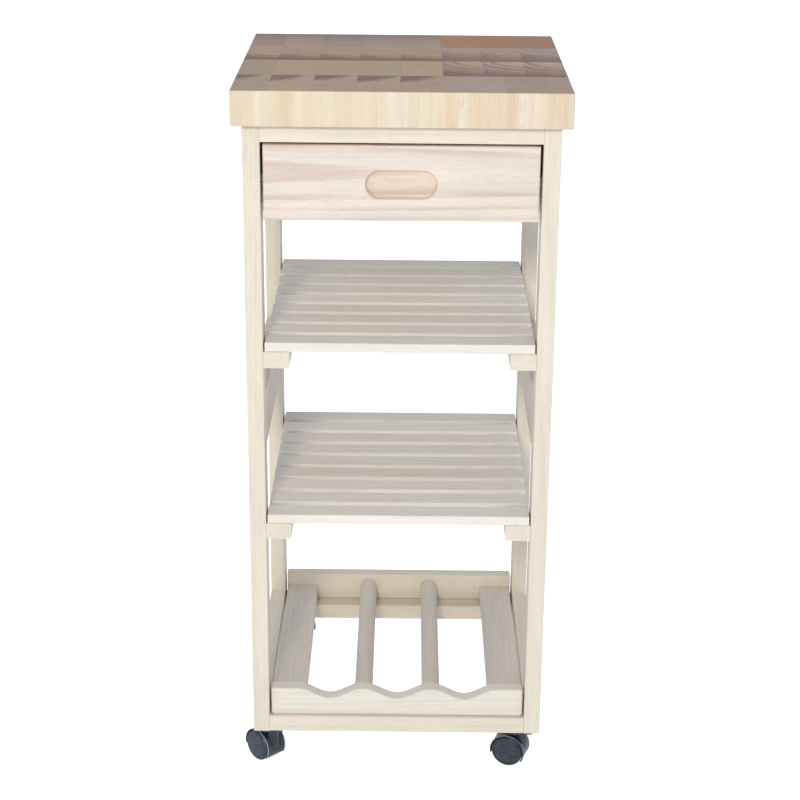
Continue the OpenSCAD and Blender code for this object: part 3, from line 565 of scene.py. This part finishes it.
def make_drawer_front():
    """A lofted board: rings of points from its back face over the edges into the recess."""
    low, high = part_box("drawer_front")
    half_w, mid_z = (high.x - low.x) / 2, (low.z + high.z) / 2
    recess_z = mid_z - 1.6 * MM
    run, radius, depth, rim, cove = 25.8 * MM, 17.2 * MM, 9 * MM, 2.2 * MM, 4.5 * MM
    count = 128

    def stadium(k, grow, y):
        """Point k of the recess outline, grown outwards, starting on the right."""
        side = k * 4 // count
        part = k % (count // 4) / (count // 4)
        r = radius + grow
        if side == 0:  # right arc
            a = math.pi * (part - 0.5)
            p = (run + r * math.cos(a), r * math.sin(a))
        elif side == 1:
            p = (run - 2 * run * part, r)
        elif side == 2:
            a = math.pi * (part + 0.5)
            p = (-run + r * math.cos(a), r * math.sin(a))
        else:
            p = (-run + 2 * run * part, -r)
        return Vector((p[0], y, recess_z + p[1]))

    def outer(k, inset, y):
        """Point k of the board's outline; each quarter of the recess faces one side of the board."""
        side, part = k * 4 // count, k % (count // 4) / (count // 4)
        w, down, up = half_w - inset, low.z + inset, high.z - inset
        if side == 0:
            return Vector((w, y, down + (up - down) * part))
        if side == 1:
            return Vector((w - 2 * w * part, y, up))
        if side == 2:
            return Vector((-w, y, up + (down - up) * part))
        return Vector((-w + 2 * w * part, y, down))

    bm = bmesh.new()
    back, soft, hold = high.y, 2.0 * MM, 0.4 * MM
    rings = [[outer(k, soft + hold, back) for k in range(count)]]
    for a in range(5):  # rear edge, from the back face outwards
        q = math.radians(22.5 * a)
        rings.append([outer(k, soft * (1 - math.sin(q)), back - soft * (1 - math.cos(q)))
                      for k in range(count)])
    for a in range(5):  # front edge
        q = math.radians(22.5 * a)
        rings.append([outer(k, soft * (1 - math.cos(q)), low.y + soft * (1 - math.sin(q)))
                      for k in range(count)])
    rings.append([outer(k, soft + hold, low.y) for k in range(count)])
    rings.append([stadium(k, rim + hold, low.y) for k in range(count)])
    for a in range(7):  # rounded rim
        q = math.radians(15 * a)
        rings.append([stadium(k, rim * (1 - math.sin(q)), low.y + rim * (1 - math.cos(q)))
                      for k in range(count)])
    for a in range(7):  # cove at the floor
        q = math.radians(15 * a)
        rings.append([stadium(k, -cove * (1 - math.cos(q)), low.y + depth - cove * (1 - math.sin(q)))
                      for k in range(count)])
    rings.append([stadium(k, -cove - hold, low.y + depth) for k in range(count)])
    verts = [[bm.verts.new(p) for p in ring] for ring in rings]
    loop_bridge(bm, verts)
    bm.faces.new(verts[0])
    bm.faces.new(verts[-1])
    # the last argument paints shade into the recess: from 1 mm behind the front the wood is made warmer
    # and darker
    mat = wood("drawer_front_wood", "X", DRAWER, DRAWER_DARK, seed=2.4,
               pith=(low.y + 0.0491, low.z + 0.059), slope=(0.0144, 0.0), ring=0.0087, contrast=0.85,
               tint=(0.79, 0.64, 0.555), tint_amount=0.60, gloss=0.45, bend=0.14, recess_shade_from=low.y + 0.001)
    new_piece("drawer_front_board", bm, mat, "drawer", "drawer_front")


make_drawer_front()


# ---- Rack front board with smooth scallops and softened edges ----

def make_rack_front():
    """A lofted board: closed sections along X, under a top edge with three scallops."""
    low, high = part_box("rack_front_board")
    left, right, base, crest = low.x, high.x, low.z, high.z
    rod_low, rod_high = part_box("rack_rod_right")
    rod_gap = 2 * rod_low.x
    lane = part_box("rack_slat_right")[0].x - rod_high.x
    lane_x = rod_high.x + lane / 2
    blend, dip = 10 * MM, 14.2 * MM

    def top(x):
        """Height of the scalloped edge at x: one cosine dip over each lane."""
        for centre, gap in ((-lane_x, lane), (0.0, rod_gap), (lane_x, lane)):
            half = gap / 2 + blend
            if abs(x - centre) < half:
                return crest - dip * (1 + math.cos(math.pi * (x - centre) / half)) / 2
        return crest

    def top_line(x):
        """The scalloped edge with its kinks averaged out."""
        values = [top(x + d * MM) for d in (-2, -1, 0, 1, 2)]
        return min(crest, sum(values) / 5)

    corner, soft, hold = 4 * MM, 1.8 * MM, 0.4 * MM

    def section(x, inset):
        """Closed loop of points round the board at x, its four edges softened."""
        end = max(0.0, corner - min(x - left, right - x))
        z0 = base + inset + corner - math.sqrt(corner ** 2 - end ** 2)
        y0, y1, z1 = low.y + inset, high.y - inset, top_line(x) - inset
        r = max(soft - inset, 0.3 * MM)
        loop = []
        corners = ((y1 - r, z1 - r, 0), (y0 + r, z1 - r, 90), (y0 + r, z0 + r, 180), (y1 - r, z0 + r, 270))
        for cy, cz, turn in corners:
            for k in range(-1, 7):
                a = math.radians(turn + 18 * min(max(k, 0), 5))
                slide = hold * ((k == 6) - (k == -1))
                loop.append(Vector((x, cy + r * math.cos(a) - slide * math.sin(a),
                                    cz + r * math.sin(a) + slide * math.cos(a))))
        return loop

    ends = [(soft * (1 - math.cos(math.radians(15 * k))), soft * (1 - math.sin(math.radians(15 * k))))
            for k in range(7)]
    inner = [soft + hold + (right - left - 2 * (soft + hold)) * k / 180 for k in range(181)]
    stations = [(left + d, i) for d, i in ends] + [(left + d, 0.0) for d in inner] + [
        (right - d, i) for d, i in reversed(ends)]
    bm = bmesh.new()
    rings = [[bm.verts.new(p) for p in section(x, i)] for x, i in stations]
    loop_bridge(bm, rings)
    bm.faces.new(rings[0])
    bm.faces.new(rings[-1])
    mat = wood("rack_front_wood", "X", RACK, CREAM_DARK, seed=6.1, pith=(low.y - 0.02, base - 0.03),
               slope=(0.02, 0.03), ring=0.008, contrast=0.30, tint=PINK, tint_amount=0.15)
    new_piece("rack_front_scalloped", bm, mat, "frame", "rack_front_board")


make_rack_front()


# ---- Floor, light and camera ----

def make_stage():
    """A wide pale floor, and a world that is brighter in view than it is as a light."""
    t = Tree("pale_floor")
    tone = t.noise(t.place(), 0.6, 2.0)
    color = t.mix(tone, (0.90, 0.90, 0.895), (0.93, 0.93, 0.925))
    t.finish(color, 0.75)
    t.put(t.bsdf.inputs["Emission Color"], (1.0, 1.0, 1.0))
    path = t.node("ShaderNodeLightPath").outputs["Is Camera Ray"]
    # brighter where the camera sees it, so that the floor meets the white background
    t.put(t.bsdf.inputs["Emission Strength"], t.math("MULTIPLY_ADD", path, 0.45, 0.30))
    bm = bmesh.new()
    bmesh.ops.create_circle(bm, cap_ends=True, radius=30.0, segments=96)
    mesh = bpy.data.meshes.new("studio_floor")
    bm.to_mesh(mesh)
    bm.free()
    floor = bpy.data.objects.new("studio_floor", mesh)
    floor.location.z = -0.2 * MM  # clear of the wheels
    mesh.materials.append(t.mat)
    bpy.context.scene.collection.objects.link(floor)
    floor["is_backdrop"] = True

    world = bpy.data.worlds.new("studio")
    bpy.context.scene.world = world
    world.use_nodes = True
    nt = world.node_tree
    path = nt.nodes.new("ShaderNodeLightPath")
    level = nt.nodes.new("ShaderNodeMapRange")
    light_on_object, light_in_view = 0.78, 1.7
    level.inputs[3].default_value = light_on_object
    level.inputs[4].default_value = light_in_view
    nt.links.new(path.outputs["Is Camera Ray"], level.inputs[0])
    nt.nodes["Background"].inputs[0].default_value = (0.70, 0.785, 0.96, 1)
    nt.links.new(level.outputs[0], nt.nodes["Background"].inputs[1])


def add_light(name, where, target, size, power, color):
    data = bpy.data.lights.new(name, "AREA")
    data.shape = "DISK"
    data.size = size
    data.energy = power
    data.color = color
    lamp = bpy.data.objects.new(name, data)
    lamp.location = where
    lamp.rotation_mode = "QUATERNION"
    lamp.rotation_quaternion = (Vector(target) - Vector(where)).to_track_quat("-Z", "Y")
    bpy.context.scene.collection.objects.link(lamp)


def make_camera():
    """The camera solved from the photograph's corners."""
    data = bpy.data.cameras.new("camera")
    data.sensor_width = 36.0
    data.lens = 84.80
    cam = bpy.data.objects.new("camera", data)
    pitch, yaw, roll = math.radians(20.306), math.radians(0.169), math.radians(0.505)
    cam.rotation_mode = "QUATERNION"
    tilt = Matrix.Rotation(math.pi / 2 - pitch, 3, "X")
    turn = Matrix.Rotation(yaw, 3, "Z") @ tilt @ Matrix.Rotation(roll, 3, "Z")
    cam.rotation_quaternion = turn.to_quaternion()
    cam.location = (7.18 * MM, -2396.7 * MM, 1341.6 * MM)
    data.clip_start, data.clip_end = 0.05, 100
    bpy.context.scene.collection.objects.link(cam)
    bpy.context.scene.camera = cam


make_stage()
add_light("key", (-0.55, -3.6, 2.35), target=(0, 0, 0.45), size=0.7, power=65.0, color=(1.0, 0.962, 0.81))
make_camera()
bpy.context.scene.view_settings.view_transform = "Standard"

low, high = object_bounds()
